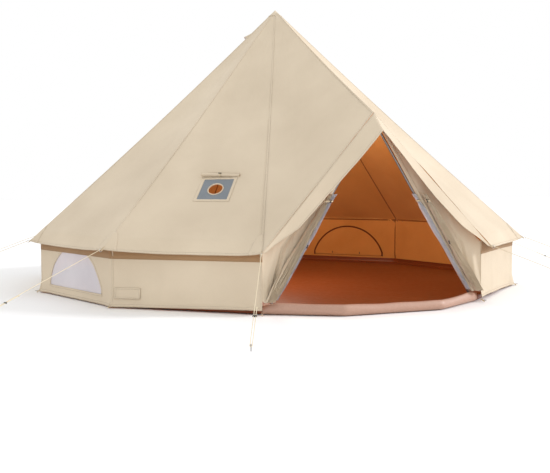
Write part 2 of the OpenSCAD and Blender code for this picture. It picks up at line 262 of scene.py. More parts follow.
steel = solid("pole_steel", rgb(0.34, 0.335, 0.33), rgb(0.24, 0.235, 0.23), 0.42, 30, 0.0001,
              stretch=(1, 1, 12), Metallic=1.0)
peg_steel = solid("peg_steel", rgb(0.42, 0.42, 0.42), rgb(0.26, 0.25, 0.24), 0.5, 60, 0.0003, Metallic=1.0)
ring_steel = solid("ring_steel", rgb(0.66, 0.66, 0.66), rgb(0.52, 0.52, 0.52), 0.3, 90, 0.0001, Metallic=1.0)
black_plastic = solid("black_plastic", rgb(0.018, 0.018, 0.02), rgb(0.01, 0.01, 0.012), 0.42, 220, 0.0002)
rope_fibre = solid("rope_fibre", rgb(0.80, 0.71, 0.52), rgb(0.64, 0.54, 0.37), 0.85, 500, 0.0006)


# ---------------------------------------------------------------- mesh helpers
def grid(points, uv=None, mat=0):
    """A part made of quads on rows x columns of points, seen from its face: columns to the right, rows up."""
    points = np.asarray(points, float)
    rows, cols = points.shape[:2]
    if uv is None:
        x = run_along(points, 1)
        uv = stacked(x - x[:, -1:] / 2, run_along(points))
    ids = np.arange(rows * cols).reshape(rows, cols)
    faces = stacked(ids[:-1, :-1], ids[:-1, 1:], ids[1:, 1:], ids[1:, :-1]).reshape(-1, 4)
    mats = np.broadcast_to(mat, (rows - 1, cols - 1))
    return points.reshape(-1, 3), faces.tolist(), uv.reshape(-1, 2), mats.reshape(-1).tolist()


def moved(part, matrix):
    m = np.array(matrix)
    return part[0] @ m[:3, :3].T + m[:3, 3], *part[1:]


def mirrored(part):
    """The part mirrored to the other side of the door, with its faces turned to match."""
    return part[0] * [-1, 1, 1], [face[::-1] for face in part[1]], *part[2:]


def in_scene(name, data):
    obj = bpy.data.objects.new(name, data)
    bpy.context.scene.collection.objects.link(obj)
    return obj


def bake_modifiers(obj):
    graph = bpy.context.evaluated_depsgraph_get()
    made = bpy.data.meshes.new_from_object(obj.evaluated_get(graph))
    obj.modifiers.clear()
    obj.data = made
    made.name = obj.name


def join(name, parts, materials):
    """One mesh object from parts, with their UVs and material numbers."""
    base = 0
    faces = []
    for part in parts:
        faces += [[base + k for k in face] for face in part[1]]
        base += len(part[0])
    mesh = bpy.data.meshes.new(name)
    mesh.from_pydata(np.concatenate([p[0] for p in parts]).tolist(), [], faces)
    flat_uv = np.concatenate([p[2] for p in parts])
    corners = np.empty(len(mesh.loops), int)
    mesh.loops.foreach_get("vertex_index", corners)
    mesh.uv_layers.new(name="UVMap").data.foreach_set("uv", flat_uv[corners].reshape(-1))
    mesh.polygons.foreach_set("material_index", [m for p in parts for m in p[3]])
    mesh.polygons.foreach_set("use_smooth", [True] * len(mesh.polygons))
    for material in materials:
        mesh.materials.append(material)
    return in_scene(name, mesh)


def edit(obj, operation):
    shape = bmesh.new()
    shape.from_mesh(obj.data)
    operation(shape)
    shape.to_mesh(obj.data)
    shape.free()


def weld(obj, gap=1e-5):
    edit(obj, lambda shape: bmesh.ops.remove_doubles(shape, verts=shape.verts, dist=gap))


def thicken(obj, thick, inner=0, offset=-1.0):
    """Gives a sheet its thickness. Inner is the number of the material on its back."""
    solidify = obj.modifiers.new("thick", "SOLIDIFY")
    solidify.thickness = thick
    solidify.offset = offset
    solidify.material_offset = inner
    solidify.use_even_offset = False
    bake_modifiers(obj)


def placed(obj, body="tent", replaces=()):
    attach(obj, body)
    if replaces:
        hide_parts(*replaces)
    return obj


def piece(name, parts, materials, body="tent", thick=0.0, inner=0, replaces=(), welded=True):
    obj = join(name, parts, materials)
    if welded:
        weld(obj)
    if thick:
        thicken(obj, thick, inner)
    return placed(obj, body, replaces)


def sewn(name, parts, material=canvas_seam, body="tent", thick=TRIM_T):
    """Canvas trim that lies on other cloth."""
    return piece(name, parts, [material], body, thick, welded=False)


def prism(outline, depth):
    """A closed part between a flat outline and the same outline moved by depth."""
    n = len(outline)
    points = np.concatenate([outline, outline + depth])
    faces = [list(range(n))[::-1], [n + k for k in range(n)]]
    faces += [[k, (k + 1) % n, n + (k + 1) % n, n + k] for k in range(n)]
    return points, faces, np.zeros((2 * n, 2)), [0] * len(faces)


def cut(obj, part):
    cutter = join("cutter", [part], obj.data.materials[:1])
    edit(cutter, lambda shape: bmesh.ops.recalc_face_normals(shape, faces=shape.faces))
    boolean = obj.modifiers.new("cut", "BOOLEAN")
    boolean.operation = "DIFFERENCE"
    boolean.solver = "EXACT"
    boolean.object = cutter
    bake_modifiers(obj)
    bpy.data.objects.remove(cutter)


def tube(path, radius, sides, up=(0, 0, 1), closed=False, lobes=0, pitch=1.0, depth=0.0):
    """A round bar along a path, or with lobes a laid rope of that many strands."""
    path = np.asarray(path, float)
    n = len(path)
    ahead = np.roll(path, -1, 0) - np.roll(path, 1, 0)
    if not closed:
        ahead[0], ahead[-1] = path[1] - path[0], path[-1] - path[-2]
    ahead /= np.linalg.norm(ahead, axis=1)[:, None]
    side = np.cross(up, ahead)
    side /= np.linalg.norm(side, axis=1)[:, None]
    top = np.cross(ahead, side)
    run = run_along(path)[:, None]
    phi = full_turn(sides)
    size = np.full((n, sides), float(radius))
    if lobes:
        turned = phi - 2 * np.pi * run / pitch
        size = size * (1 - depth + depth * np.abs(np.cos(turned * lobes / 2)) ** 0.7)
    spoke = np.cos(phi)[:, None] * side[:, None] + np.sin(phi)[:, None] * top[:, None]
    points = (path[:, None] + size[..., None] * spoke).reshape(-1, 3)
    uv = stacked(phi * 0.003, run).reshape(-1, 2)
    ids = np.arange(n * sides).reshape(n, sides).tolist()
    faces = []
    for k in range(n if closed else n - 1):
        a, b = ids[k], ids[(k + 1) % n]
        faces += [[a[j], a[(j + 1) % sides], b[(j + 1) % sides], b[j]] for j in range(sides)]
    if not closed:
        points = np.concatenate([points, path[:1], path[-1:]])
        uv = np.concatenate([uv, uv[:1], uv[-1:]])
        faces += [[ids[0][(j + 1) % sides], ids[0][j], n * sides] for j in range(sides)]
        faces += [[ids[-1][j], ids[-1][(j + 1) % sides], n * sides + 1] for j in range(sides)]
    return points, faces, uv, [0] * len(faces)


def strip(middle, side, width, out, bulge=0.0008):
    """A band along a line of points, with unit vectors across it and out of it. Columns go along side."""
    side, out = (np.broadcast_to(v, middle.shape)[:, None] for v in (side, out))
    t = np.linspace(-0.5, 0.5, 5)[:, None]
    return grid(middle[:, None] + t * width * side + bulge * (1 - (2 * t) ** 2) * out)


def lathe(profile, sides, mat=0):
    """A turned part on the z axis from (radius, height) pairs."""
    r, z = np.array(profile).T[..., None]
    return grid(around(r, full_turn(sides + 1, closed=True), z), mat=mat)


# ---------------------------------------------------------------- camera
def add_camera():
    data = bpy.data.cameras.new("camera")
    data.sensor_width = 36
    data.lens = 53.12
    data.clip_end = 300
    camera = in_scene("camera", data)
    camera.location = (-4.02, -9.86, 1.229)
    camera.rotation_euler = (math.radians(86.45), 0, math.radians(-22.17))
    bpy.context.scene.camera = camera


add_camera()

# ---------------------------------------------------------------- guy ropes
GUY_TURN = [20, 4, 0, 0, 0, 0, 0, 0, 0, -4, 0]
ROPE_D = 0.006
RING_D = 0.034
RING_R = EAVE_R + 0.024
RING_Z = EAVE_Z - 0.006
ROPE_START_R = RING_R + RING_D / 2 + ROPE_D / 2 + 0.0005
HOOK_Z = 0.04
GUY_REACH = 1.5
RUNNER_UP = 0.45
STRAND_GAP = 0.018
TAIL = 0.14
ROPE_L = math.hypot(RING_Z - HOOK_Z, GUY_REACH)
ROPE_PITCH = math.atan2(RING_Z - HOOK_Z, GUY_REACH)


def rope_frame(i):
    """Frame of guy rope i: x down the rope from its ring, y across, z square to both."""
    turn = corner_turn(i)
    start = Matrix.Translation(around(ROPE_START_R, turn, RING_Z))
    level_turn = Matrix.Rotation(turn + math.radians(GUY_TURN[i]), 4, "Z")
    return start @ level_turn @ Matrix.Rotation(ROPE_PITCH, 4, "Y")


def rope_route(step):
    """Down to the peg, round its shank and back up through the runner to the knot."""
    down = np.linspace(0, ROPE_L, round(ROPE_L / step))
    bend = np.linspace(0, math.pi, 9)[1:-1]
    back = np.linspace(ROPE_L, ROPE_L - RUNNER_UP - TAIL, round((RUNNER_UP + TAIL) / step))
    half = STRAND_GAP / 2
    round_peg = stacked(ROPE_L + half * np.sin(bend), half - half * np.cos(bend), 0)
    return np.concatenate([stacked(down, 0, 0), round_peg, stacked(back, STRAND_GAP, 0)])


def knot_part(size=0.0021):
    """A small stopper knot, round the origin."""
    t = full_turn(48)
    loop = stacked(np.sin(t) + 2 * np.sin(2 * t), np.cos(t) - 2 * np.cos(2 * t), -np.sin(3 * t)) * size
    return tube(loop, 0.0027, 10, up=(0.31, 0.22, 0.92), closed=True)


def add_ropes():
    route = rope_route(0.004)
    laid = tube(route, ROPE_D / 2, 12, lobes=3, pitch=0.054, depth=0.17)
    phi = full_turn(28)
    eye = tube(stacked(0.0105 * np.cos(phi) - 0.0105, 0.0065 * np.sin(phi), 0), 0.0026, 8, closed=True)
    knots, eyes = [], []
    for i in range(PANELS + 1):
        place = rope_frame(i)
        rope = join(f"guy_rope_{i:02d}_laid", [moved(laid, place)], [rope_fibre])
        placed(rope, replaces=[f"guy_rope_{i:02d}"])
        knots.append(moved(knot_part(), place @ Matrix.Translation(route[-1])))
        eyes.append(moved(eye, place))
    piece("guy_knots", knots + eyes, [rope_fibre], welded=False)


def runner_mesh():
    """A rounded plate with a hole for each strand of the rope."""
    data = bpy.data.curves.new("runner", "CURVE")
    data.dimensions = "2D"
    data.fill_mode = "BOTH"
    data.extrude = 0.0044
    data.bevel_depth = 0.0012
    data.bevel_resolution = 2

    def outline(points):
        spline = data.splines.new("POLY")
        spline.points.add(len(points) - 1)
        for point, (x, y) in zip(spline.points, points):
            point.co = (x, y, 0, 1)
        spline.use_cyclic_u = True

    phi = full_turn(40)
    end = np.where(np.cos(phi) > 0, STRAND_GAP + 0.0025, -0.0025)
    outline(stacked(end + 0.0058 * np.cos(phi), 0.0058 * np.sin(phi)))
    for hole in (0, STRAND_GAP):
        outline(stacked(hole + 0.0046 * np.cos(phi), 0.0046 * np.sin(phi))[::-1])
    curve = in_scene("runner", data)
    bpy.context.view_layer.update()
    mesh = bpy.data.meshes.new_from_object(curve.evaluated_get(bpy.context.evaluated_depsgraph_get()))
    bpy.data.objects.remove(curve)
    # The plate is drawn facing z, and on the rope it faces along the rope
    mesh.transform(ROUND_AXES)
    mesh.materials.clear()
    mesh.materials.append(black_plastic)
    return mesh


def add_runners():
    plate = runner_mesh()
    for i in range(PANELS + 1):
        obj = in_scene(f"runner_{i:02d}_plate", plate.copy())
        obj.data.transform(rope_frame(i) @ Matrix.Translation((ROPE_L - RUNNER_UP, 0, 0)))
        placed(obj, f"guy_runner_{i:02d}", [f"guy_runner_{i:02d}"])


add_ropes()
add_runners()

# ---------------------------------------------------------------- roof surface
WALL_LINE = 0.0392          # share of the way up the roof at which the wall meets it
EAVE_CHORD = 2 * EAVE_R * math.sin(TURN / 2)
TOP_CHORD = 2 * GORE_TOP_R * math.sin(TURN / 2)
GORE_RUN = (EAVE_R - GORE_TOP_R) * math.cos(TURN / 2)
GORE_RISE = (EAVE_R - GORE_TOP_R) * ROOF_SLOPE
GORE_L = math.hypot(GORE_RUN, GORE_RISE)
RIDGE_SLOPE = (GORE_TOP_Z - RIDGE_END[2]) / -RIDGE_END[1]
SAG = 0.045
SEAM_SAG = 0.022
SKIRT_DROP = math.radians(22)

# The roof's fold lines: the ridge over the door, the eleven seams, and the ridge again
corners = [corner_turn(i) for i in range(PANELS + 1)]
ridge_top = np.array([0, -GORE_TOP_R, GORE_TOP_Z - GORE_TOP_R * RIDGE_SLOPE])
LINE_LOW = np.array([RIDGE_END] + [around(EAVE_R, t, EAVE_Z) for t in corners] + [RIDGE_END])
seam_tops = [around(GORE_TOP_R, t, GORE_TOP_Z - GORE_TOP_R * ROOF_SLOPE) for t in corners]
LINE_TOP = np.array([ridge_top] + seam_tops + [ridge_top])
FACET_N = np.cross(LINE_LOW[1:] - LINE_LOW[:-1], LINE_TOP[:-1] - LINE_LOW[:-1])
FACET_N /= np.linalg.norm(FACET_N, axis=1)[:, None]


def roof_at(w, v, lift=0.0):
    """Points of the roof. w counts facets anticlockwise, from -1 at the ridge to 11, and v goes up from 0."""
    w, v = np.broadcast_arrays(np.asarray(w, float), np.asarray(v, float))
    k = np.clip(np.floor(w).astype(int), -1, PANELS)
    u = w - k
    low = LINE_LOW[k + 1] * (1 - u[..., None]) + LINE_LOW[k + 2] * u[..., None]
    top = LINE_TOP[k + 1] * (1 - u[..., None]) + LINE_TOP[k + 2] * u[..., None]
    rise = top - low
    run = np.linalg.norm(rise, axis=-1)
    # Near a seam, the normal turns towards that of the facet beyond it
    beside = (np.where(u < 0.5, k - 1, k + 1) + 1) % (PANELS + 2)
    share = 0.5 * (1 - eased(np.minimum(u, 1 - u) / 0.05))[..., None]
    normal = FACET_N[k + 1] * (1 - share) + FACET_N[beside] * share
    normal /= np.linalg.norm(normal, axis=-1)[..., None]

    gore = (k >= 0) & (k < PANELS)
    pivot = np.where(gore, WALL_LINE, 0.0)
    above = np.clip((v - pivot) / (1 - pivot), 0, 1)
    across = np.sin(np.pi * np.clip(u, 0, 1))
    sag = SAG * across**1.2 * np.sin(np.pi * above) ** 0.7 * (1 - v) ** 0.4
    sag = sag + SEAM_SAG * np.sin(np.pi * above)

    arc = w * EAVE_CHORD
    up = v * GORE_L
    whole = eased((w + 1) / 0.12) * eased((PANELS + 1 - w) / 0.12)
    fade = whole * eased((1 - v) / 0.15)
    folds = 0.0045 * ripple(arc / 0.42, up / 1.3, 5) + 0.0016 * ripple(arc / 0.10, up / 0.34, 11)
    # Creases fan out from both of the gore's lower corners, where the guy ropes pull
    for corner_u in (u, 1 - u):
        side = corner_u * EAVE_CHORD * (1 - v)
        reach = np.hypot(side, up)
        fan = np.sin(13 * np.arctan2(side, up + 0.02) + 2.2 * ripple(w, up, 17, 1))
        folds = folds + np.where(gore, 0.0042 * fan * np.exp(-reach / 0.5) * (1 - np.exp(-reach / 0.1)), 0)
    folds = folds * fade * eased(np.minimum(u, 1 - u) / 0.04)

    # Below the wall's line, the eave hangs more steeply than the roof
    skirt = np.where(gore, np.clip(pivot - v, 0, None), 0) * run
    point = low + rise * np.maximum(v, pivot)[..., None]
    down = -rise / run[..., None]
    drop = (SKIRT_DROP * across**0.7)[..., None]
    point = point + skirt[..., None] * (np.cos(drop) * down - np.sin(drop) * normal)
    return point + (lift - sag + folds)[..., None] * normal


def gore_at(i, across, up, lift=0.0):
    """Points of gore i by metres anticlockwise of its middle and metres up the slope from its eave."""
    v = np.asarray(up, float) / GORE_L
    width = EAVE_CHORD * (1 - v) + TOP_CHORD * v
    return roof_at(i + 0.5 + np.asarray(across, float) / width, v, lift)


def gore_frame(i, across, up, step=0.02):
    """Matrix at a point of gore i: x anticlockwise, y up the slope, z out of the roof."""
    here = gore_at(i, across, up)
    x = gore_at(i, across + step, up) - here
    z = np.cross(x, gore_at(i, across, up + step) - here)
    x, z = x / np.linalg.norm(x), z / np.linalg.norm(z)
    made = np.eye(4)
    made[:3] = stacked(x, np.cross(z, x), z, here)
    return Matrix(made)


FLUE_ACROSS = 0.108
FLUE_UP = 0.895
FLUE_D = 0.15
PATCH_W = 0.385             # the stove jack's heatproof patch
PATCH_H = 0.355


def add_roof():
    rows = np.concatenate([np.linspace(0, WALL_LINE, 7), np.linspace(WALL_LINE, 1, 72)[1:]])
    u, v = np.meshgrid(np.linspace(0, 1, 29), rows)
    parts = []
    for k in range(-1, PANELS + 1):
        low = np.linalg.norm(LINE_LOW[k + 2] - LINE_LOW[k + 1])
        uv = stacked((u - 0.5) * (low * (1 - v) + TOP_CHORD * v) + 3 * k, v * GORE_L)
        parts.append(grid(roof_at(k + np.clip(u, 1e-6, 1 - 1e-6), v), uv))
    roof = join("roof_canvas", parts, [canvas, canvas_inside_painted_glow])
    weld(roof, 1e-4)
    thicken(roof, CLOTH_T, inner=1)
    hole = prism(around(FLUE_D / 2, full_turn(72), -0.03), 0.06 * UP)
    cut(roof, moved(hole, gore_frame(PORT_PANEL, FLUE_ACROSS, FLUE_UP)))
    placed(roof, replaces=[
        "roof_right", "roof_left", "roof_stove_panel", "roof_front_right", "roof_front_left"])


def seam_strip(k, width, lift, rows, flip=False):
    """A band over fold line k of the roof, half on the facet at each side."""
    v = rows[:, None]
    low = EAVE_CHORD * (1 - v) + TOP_CHORD * v
    t = np.linspace(-0.5, 0.5, 7)
    w = k + np.clip(t * width / low, -0.45, 0.45)
    w = np.where(w < -1, w + PANELS + 2, w)
    points = roof_at(w, v, lift)
    return grid(points[:, ::-1] if flip else points, stacked(t * width, v * GORE_L))


def eave_hem(k, u, rows, chord):
    """A hem along the lower edge of facet k, with its stitches in rows."""
    u, v = np.meshgrid(u, rows)
    return grid(roof_at(k + u, v, 0.0014), stacked((v - rows.mean()) * GORE_L, u * chord))


def add_roof_seams():
    rows = np.linspace(0.004, 0.985, 90)
    outer = [seam_strip(k, 0.026, 0.0015, rows) for k in range(PANELS + 1)]
    outer.append(seam_strip(-1, 0.034, 0.0018, np.linspace(0.0, 0.985, 60)))
    for k in range(PANELS):
        hem_rows = np.array([0.0002, 0.0022, 0.0045, 0.0066])
        outer.append(eave_hem(k, np.linspace(0.002, 0.998, 40), hem_rows, EAVE_CHORD))
    for k in (-1, PANELS):
        outer.append(eave_hem(k, np.linspace(0.004, 0.996, 60), np.linspace(0.0, 0.0085, 4), 2))
    sewn("roof_seams", outer, thick=PATCH_T)
    inner = [seam_strip(k, 0.022, -CLOTH_T - 0.0012, rows[2:], flip=True) for k in range(PANELS + 1)]
    sewn("roof_seams_inside", inner, seam_inside_painted_glow, thick=THIN_T)


def add_corner_patches():
    """Doubled canvas at the eave corners, where the guy ropes pull."""
    rows = np.linspace(0.001, 0.062, 9)[:, None]
    reach = 0.145 * (1 - (rows / 0.0625)) ** 0.6
    whole = reach * np.linspace(-1, 1, 13) / (EAVE_CHORD * (1 - rows))
    parts = []
    for k in range(PANELS + 1):
        side = np.clip(whole, 0 if k == 0 else -1, 0 if k == PANELS else 1)
        parts.append(grid(roof_at(k + side, rows, 0.0026)))
    sewn("eave_corner_patches", parts, canvas, thick=PATCH_T)


add_roof()
add_roof_seams()
add_corner_patches()


# ---------------------------------------------------------------- walls
APOTHEM = WALL_R * math.cos(TURN / 2)
WALL_FOOT = 0.012
HITCH = 0.036


def wall_at(i, y, z, lift=0.0):
    """Points of wall panel i: y anticlockwise from its middle and z up. Lift goes outwards."""
    y, z = np.broadcast_arrays(np.asarray(y, float), np.asarray(z, float))
    out, along = axes_at(panel_turn(i))
    point = APOTHEM * out + y[..., None] * along
    radial = point / np.linalg.norm(point, axis=-1)[..., None]
    arc = (i + 0.5) * WALL_W + y
    # Beside the door, the wall's foot is hitched up and shows the groundsheet's rim
    nearness = {0: 0.5 - y / WALL_W, PANELS - 1: 0.5 + y / WALL_W}.get(i, 0 * y)
    z = z + HITCH * np.clip(nearness, 0, 1) * (1 - z / WALL_TOP)
    edge = WALL_W / 2 - np.abs(y)
    height = z / WALL_TOP
    hang = 0.0042 * ripple(arc / 0.12, z / 0.8, 31) + 0.005 * ripple(arc / 0.5, z / 0.5, 41)
    hang = hang * (0.35 + 0.65 * eased((1 - height) / 0.5)) * (0.3 + 0.7 * eased(edge / 0.08))
    slack = -0.008 * np.cos(np.pi * y / WALL_W) * np.sin(np.pi * np.clip(height, 0, 1))
    flare = 0.030 * np.exp(-edge / 0.09) * eased((0.17 - z) / 0.17)
    fan = np.sin(11 * np.arctan2(edge, 0.72 - z)) * np.exp(-np.hypot(edge, 0.7 - z) / 0.28)
    pull = 0.0045 * fan * eased(edge / 0.03)
    return point + z[..., None] * UP + (lift + hang + slack + flare + pull)[..., None] * radial


ARCH_ROUND = 0.53           # radius of a window's arch, as a share of its width


def arch_half(z, w, h):
    """Half the width of an arched window at height z above its sill."""
    r = w * ARCH_ROUND
    return np.minimum(w / 2, np.sqrt(np.clip(r * r - (z - h + r) ** 2, 0, None)))


def arch_outline(w, h):
    """Round the arch from the sill's left end, over the top, to its right end, as (y, z)."""
    r = w * ARCH_ROUND
    start = math.acos(0.5 / ARCH_ROUND)
    arc = np.linspace(math.pi - start, start, 46)
    over = stacked(r * np.cos(arc), r * np.sin(arc) + h - r)
    return np.concatenate([[[-w / 2, 0]], over, [[w / 2, 0]]])


def wall_cutter(i, outline):
    """A block through wall panel i, with that (y, z) outline."""
    out, along = axes_at(panel_turn(i))
    y, z = outline.T[..., None]
    return prism((APOTHEM - 0.06) * out + y * along + z * UP, 0.12 * out)


def add_walls():
    y, z = np.meshgrid(np.linspace(-WALL_W / 2, WALL_W / 2, 45), np.linspace(WALL_FOOT, WALL_TOP, 27))
    parts = [grid(wall_at(i, y, z), stacked(y + 2 * i, z)) for i in range(PANELS)]
    walls = join("walls_canvas", parts, [canvas, canvas_inside_painted_glow])
    weld(walls, 1e-4)
    thicken(walls, CLOTH_T, inner=1)
    for i in WINDOWS:
        cut(walls, wall_cutter(i, arch_outline(WINDOW_W, WINDOW_H) + [0, SILL_Z]))
    port = np.array([[-0.075, -0.03], [0.075, -0.03], [0.075, 0.03], [-0.075, 0.03]])
    cut(walls, wall_cutter(PORT_PANEL, port + [PORT_Y, PORT_Z]))
    placed(walls, replaces=["walls_plain", "wall_window_1", "wall_window_3", "wall_window_6",
                                      "wall_window_8", "wall_cable_port"])


def wall_strip(i, line, width, lift, flip=False, cols=5, bulge=0.0006, uv_length=None):
    """A band on wall panel i along a (y, z) line. Its face looks out, or in if flipped."""
    ahead = np.gradient(line, axis=0)
    ahead /= np.linalg.norm(ahead, axis=1)[:, None]
    side = stacked(ahead[:, 1], -ahead[:, 0])[:, None]
    t = np.linspace(-0.5, 0.5, cols)
    spread = line[:, None] + t[:, None] * width * side
    along = run_along(line) if uv_length is None else np.linspace(0, uv_length, len(line))
    uv = stacked(t * width, along[:, None])
    rise = bulge * (1 - (2 * t) ** 2)
    points = wall_at(i, *np.moveaxis(spread, -1, 0), np.reshape(lift, (-1, 1)) + (-rise if flip else rise))
    return grid(points[:, ::-1], uv[:, ::-1]) if flip else grid(points, uv)


def level(half, z, n=40):
    """A line across a wall panel at height z."""
    return stacked(np.linspace(-half, half, n), z)


def add_wall_trims():
    half = WALL_W / 2
    inside = -CLOTH_T - 0.001
    upright = stacked(-half + 0.013, np.linspace(0.014, 0.7, 24))
    outer, inner, shade_bands = [], [], []
    for i in range(PANELS):
        outer.append(wall_strip(i, level(half, 0.03), 0.03, 0.0012))
        outer.append(wall_strip(i, upright, 0.022, 0.0014))
        inner.append(wall_strip(i, level(half, 0.03), 0.03, inside, flip=True))
        inner.append(wall_strip(i, level(half, 0.69), 0.022, inside, flip=True))
        inner.append(wall_strip(i, upright, 0.018, inside, flip=True))
        # The brown band just under the eave skirt is painted shade
        shade_bands.append(wall_strip(i, level(half, 0.598), 0.20, 0.0022))
    outer.append(wall_strip(PANELS - 1, upright * [-1, 1], 0.022, 0.0014))
    for i in WINDOWS:
        over = arch_outline(WINDOW_W + 0.02, WINDOW_H + 0.012) + [0, SILL_Z - 0.002]
        outer.append(wall_strip(i, over, 0.024, 0.0014))
        outer.append(wall_strip(i, level(WINDOW_W / 2 + 0.02, SILL_Z - 0.010), 0.024, 0.0018))
    sewn("wall_hems", outer)
    sewn("wall_top_painted_shade", shade_bands, eave_painted_shade)
    sewn("wall_hems_inside", inner, seam_inside_painted_glow, thick=THIN_T)


def arch_sheet(i, w, h, low, lift, curl=0.0):
    """An arched sheet along wall panel i, standing on the height low."""
    above = np.linspace(0, h - 0.0005, 22)[:, None]
    y = arch_half(above, w, h) * np.linspace(-1, 1, 41)
    z = above + low
    return grid(wall_at(i, y, z, lift + curl * ripple(y / 0.16, z / 0.12, 51 + i)), stacked(y, z))


def toggle_part(place, up, size=1.0, mat=0):
    """A turned toggle that lies along the given direction."""
    half = [(0.0036, 0.0035), (0.0052, 0.006), (0.0052, 0.014), (0.0035, 0.0165), (0.0, 0.017)]
    profile = [(r, -z) for r, z in half[::-1]] + half
    turn = Vector(up).normalized().to_track_quat("Z", "Y").to_matrix().to_4x4()
    return moved(lathe(np.array(profile) * size, 14, mat), Matrix.Translation(place) @ turn)


def add_windows():
    screen_w, screen_h = WINDOW_W + 0.028, WINDOW_H + 0.02
    for i in WINDOWS:
        screen = piece(f"window_mesh_{i}", [arch_sheet(i, screen_w, screen_h, SILL_Z - 0.012, -0.0038)],
                       [mesh_cloth])
        if i == WINDOWS[0]:
            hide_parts("window_meshes")
    for i, name in ((3, "window_flap_right"), (6, "window_flap_left")):
        arch = arch_sheet(i, FLAP_W, FLAP_H - 0.006, SILL_Z - 0.012, -0.0078, curl=0.001)
        flap = piece(f"{name}_sheet", [arch], [canvas, canvas_inside_painted_glow], name, CLOTH_T, inner=1,
                     replaces=[name])
        rim = arch_outline(FLAP_W - 0.026, FLAP_H - 0.018) + [0, SILL_Z - 0.010]
        zip_band = wall_strip(i, rim, 0.024, -0.0108, flip=True)
        piece(f"{name}_zip", [zip_band], [zip_tape], name, CLOTH_T)
        toggles = [toggle_part(wall_at(i, y, SILL_Z + 0.030, -0.0148), (0, 0, 1)) for y in (-0.2, 0.27)]
        piece(f"{name}_toggles", toggles, [black_plastic], name, welded=False)


ROLL_D = 0.042


def roll_part(length, turns, seed):
    """A rolled sheet along x, with its spiral end showing: y up and z out. Two ties squeeze it."""
    t = np.linspace(0, 1, int(22 * turns))
    angle = 2 * np.pi * turns * t
    core = 0.006
    x = np.linspace(-0.5, 0.5, 44)[:, None]
    squeeze = 1 - 0.16 * np.exp(-((np.abs(x) - 0.31) / 0.022) ** 2)
    wobble = 1 + 0.05 * ripple(x * length / 0.09, angle / 1.4, seed)
    shift = 0.004 * ripple(t * 5, 3.3, seed + 7, 1)
    r = (core + (ROLL_D / 2 - core) * t) * squeeze * wobble
    return grid(stacked(x * length + shift, r * np.cos(angle), r * np.sin(angle)))


def band_part(radius, x, width=0.018):
    """A webbing tie round a roll at x along it."""
    phi = full_turn(33, closed=True)
    out = stacked(0, np.cos(phi), np.sin(phi))
    return strip(radius * out + [x, 0, 0], (1.0, 0, 0), width, out)


def add_rolls():
    for i in OPEN_WINDOWS:
        # The roll's x lies along the wall, its y up and its z outwards
        under = Matrix.Translation((APOTHEM - 0.033, 0, SILL_Z + 0.006))
        place = Matrix.Rotation(panel_turn(i), 4, "Z") @ under @ ROUND_AXES
        roll = piece(f"window_roll_{i}", [moved(roll_part(WINDOW_W - 0.02, 5.6, 60 + i), place)],
                     [canvas_inside_painted_glow], thick=THIN_T, welded=False,
                     replaces=["window_rolled_flaps"] if i == OPEN_WINDOWS[0] else ())
        ties = [moved(band_part(0.0205, x * WINDOW_W), place) for x in (-0.31, 0.31)]
        sewn(f"window_ties_{i}", ties, webbing)


def add_stove_roll():
    above = gore_frame(PORT_PANEL, FLUE_ACROSS, FLUE_UP + PATCH_H / 2 + 0.027)
    place = above @ Matrix.Translation((0, 0, ROLL_D / 2))
    roll = piece("stove_flap_roll", [moved(roll_part(0.425, 5.1, 71), place)], [canvas],
                 thick=THIN_T, welded=False, replaces=["stove_flap"])
    tie = [band_part(0.0222, 0.0, 0.016), toggle_part((0, -0.004, 0.026), (1, 0, 0), mat=1)]
    piece("stove_flap_tie", [moved(part, place) for part in tie], [webbing, black_plastic],
          welded=False)


# ---------------------------------------------------------------- stove jack, cable flap, vents, apex
def add_stove_patch():
    phi = full_turn(121, closed=True)
    circle = stacked(np.cos(phi), np.sin(phi))
    reach = np.minimum(*(np.array([PATCH_W, PATCH_H]) / 2 / np.maximum(np.abs(circle), 1e-9)).T)
    edge = reach[:, None] * circle

    def ring(inner, outer, lift, rows):
        t = np.linspace(0, 1, rows)[:, None, None]
        flat = outer * (1 - t) + inner * t
        return grid(gore_at(PORT_PANEL, FLUE_ACROSS + flat[..., 0], FLUE_UP + flat[..., 1], lift), flat)

    patch = piece("stove_patch_cloth", [ring(circle * 0.078, edge, 0.0022, 10)], [heatproof],
                  thick=CLOTH_T, replaces=["stove_patch"])
    border = ring(edge * 0.86, edge * 1.03, 0.0038, 4)
    piece("stove_patch_border", [border], [canvas_seam], thick=PATCH_T)
    x, y = 0.081 * circle[:-1].T
    line = gore_at(PORT_PANEL, FLUE_ACROSS + x, FLUE_UP + y, 0.004)
    out = np.array(gore_frame(PORT_PANEL, FLUE_ACROSS, FLUE_UP))[:3, 2]
    bound = tube(line, 0.0062, 10, up=out, closed=True)
    piece("stove_hole_binding", [bound], [canvas], welded=False)


def cable_flap_curl(y, z):
    """How far the cable flap stands off the wall, at y from its middle. Its upper edge is sewn down."""
    return 0.0085 * eased((0.215 - z) / 0.115) * (1 + 0.25 * np.cos(y * 40))


def add_cable_flap():
    y, z = np.meshgrid(np.linspace(-0.14, 0.14, 29), np.linspace(0.100, 0.2105, 14))
    sheet = grid(wall_at(PORT_PANEL, y + PORT_Y, z, 0.0045 + cable_flap_curl(y, z)), stacked(y, z))
    flap = piece("cable_flap_sheet", [sheet], [canvas], "cable_flap", CLOTH_T,
                 replaces=["cable_flap"])
    half = 0.132
    lines = [level(half, z, 20) for z in (0.108, 0.202)]
    lines += [stacked(y, np.linspace(0.104, 0.2085, 12)) for y in (-half, half)]
    hems = []
    for line in lines:
        lift = 0.0062 + cable_flap_curl(*line.T)
        hems.append(wall_strip(PORT_PANEL, line + [PORT_Y, 0], 0.016, lift, cols=4, bulge=0.0, uv_length=0.3))
    sewn("cable_flap_hem", hems, body="cable_flap", thick=THIN_T)


